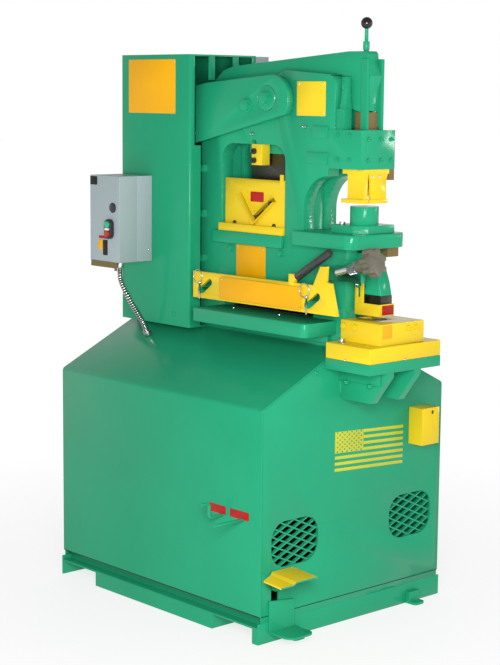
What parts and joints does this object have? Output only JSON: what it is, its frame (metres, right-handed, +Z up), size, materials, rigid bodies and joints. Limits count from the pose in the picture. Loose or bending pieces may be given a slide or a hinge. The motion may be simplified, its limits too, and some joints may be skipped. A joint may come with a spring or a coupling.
{
  "type": "hydraulic ironworker",
  "caption": "Floor-standing hydraulic ironworker: rocking arm between thick frame plates drives a punch, angle and flat-bar shears and a notcher on a sloped cabinet",
  "frame": {"origin": "on the floor, under the middle of the cabinet, on the base's bottom plate", "axes": "+Z up; +X towards the punch, notcher and pedal end; -Y the operator's side with the bar table"},
  "size_m": [1.2166, 0.881, 1.7868],
  "materials": {
    "green_paint": "glossy blue-green enamel",
    "yellow_paint": "glossy yellow enamel",
    "grey_paint": "semi-gloss light grey enamel",
    "steel": "machined steel",
    "dark_steel": "oiled dark steel",
    "black_plastic": "black moulded plastic",
    "green_plastic": "green push button",
    "red_plastic": "red push button",
    "bronze": "bearing bronze",
    "hose_rubber": "black hose"
  },
  "bodies": {
    "frame": {"base_frame": "green_paint", "anchor_brackets": "green_paint", "front_panel": "green_paint", "rear_panel": "green_paint", "punch_end_panel": "green_paint", "cylinder_end_panel": "green_paint", "deck_plate": "green_paint", "vent_grilles": "green_paint", "frame_plate_near": "green_paint", "frame_plate_far": "green_paint", "frame_spacers": "green_paint", "pivot_cheeks": "green_paint", "pivot_pin": "steel", "frame_bolts": "green_paint", "punch_guide_block": "green_paint", "stripper": "yellow_paint", "die_table": "green_paint", "die_holder": "green_paint", "die_block": "green_paint", "window_sill": "green_paint", "angle_table": "yellow_paint", "angle_guard": "yellow_paint", "hold_down_block": "yellow_paint", "rear_guard": "green_paint", "bar_table": "green_paint", "lower_blades": "steel", "holder_mounts": "green_paint", "coper_support": "green_paint", "coper_table": "yellow_paint", "coper_die_block": "yellow_paint", "cap_screws": "steel", "cylinder_housing": "green_paint", "starter_base": "grey_paint", "starter_cover": "grey_paint", "button_bezel": "black_plastic", "conduit": "steel", "conduit_fittings": "steel", "junction_box": "grey_paint", "stroke_box": "yellow_paint", "tool_hooks": "green_paint", "oil_tank": "grey_paint", "motor": "dark_steel", "pump": "dark_steel", "valve_block": "steel", "hydraulic_hoses": "hose_rubber", "cylinder_barrel": "dark_steel"},
    "arm": {"rocker_arm": "green_paint", "pivot_bush": "bronze"},
    "engage_lever": {"punch_lever": "green_paint"},
    "punch": {"punch_ram": "dark_steel", "punch_tool": "dark_steel"},
    "shear": {"shear_slide": "green_paint", "upper_blades": "dark_steel"},
    "piston": {"cylinder_rod": "steel"},
    "holder": {"bar_holder": "yellow_paint"},
    "knob": {"star_knob": "black_plastic"},
    "notch_guard": {"coper_guard": "yellow_paint"},
    "pedal": {"foot_pedal": "yellow_paint"},
    "start": {"start_button": "green_plastic"},
    "stop": {"stop_button": "red_plastic"}
  },
  "joints": [
    {"name": "arm_pivot", "type": "hinge", "parent": "frame", "child": "arm", "pos_m": [0.168, 0, 1.55381], "axis": [0, 1, 0], "range_deg": [0, 7.5]},
    {"name": "engage_pivot", "type": "hinge", "parent": "arm", "child": "engage_lever", "pos_m": [0.488, 0, 1.67181], "axis": [0, 1, 0], "range_deg": [-20, 20]},
    {"name": "punch_stroke", "type": "slide", "parent": "frame", "child": "punch", "axis": [0, 0, -1], "range_m": [0, 0.0424]},
    {"name": "shear_stroke", "type": "slide", "parent": "frame", "child": "shear", "axis": [0, 0, -1], "range_m": [0, 0.0281]},
    {"name": "piston_stroke", "type": "slide", "parent": "frame", "child": "piston", "axis": [0, 0, 1], "range_m": [0, 0.0614]},
    {"name": "holder_slide", "type": "slide", "parent": "frame", "child": "holder", "axis": [-0.7986, 0, -0.6018], "range_m": [0, 0.042]},
    {"name": "knob_turn", "type": "hinge", "parent": "frame", "child": "knob", "pos_m": [0.508, -0.151, 1.05681], "axis": [0.9613, 0, 0.2756], "continuous": true},
    {"name": "guard_lift", "type": "slide", "parent": "frame", "child": "notch_guard", "axis": [0, 0, 1], "range_m": [0, 0.03]},
    {"name": "pedal_pivot", "type": "hinge", "parent": "frame", "child": "pedal", "pos_m": [0.426, -0.325, 0.161], "axis": [0, 1, 0], "range_deg": [0, 12], "stiffness_Nm_per_rad": 8, "springref_deg": -8.59},
    {"name": "start_press", "type": "slide", "parent": "frame", "child": "start", "axis": [0, 1, 0], "range_m": [0, 0.004], "stiffness_N_per_m": 300, "springref_m": -0.002},
    {"name": "stop_press", "type": "slide", "parent": "frame", "child": "stop", "axis": [0, 1, 0], "range_m": [0, 0.004], "stiffness_N_per_m": 300, "springref_m": -0.002}
  ],
  "couplings": [
    {"joint": "punch_stroke", "follows": "arm_pivot", "m_per_rad": 0.3235},
    {"joint": "shear_stroke", "follows": "arm_pivot", "m_per_rad": 0.2144},
    {"joint": "piston_stroke", "follows": "arm_pivot", "m_per_rad": 0.4689}
  ]
}
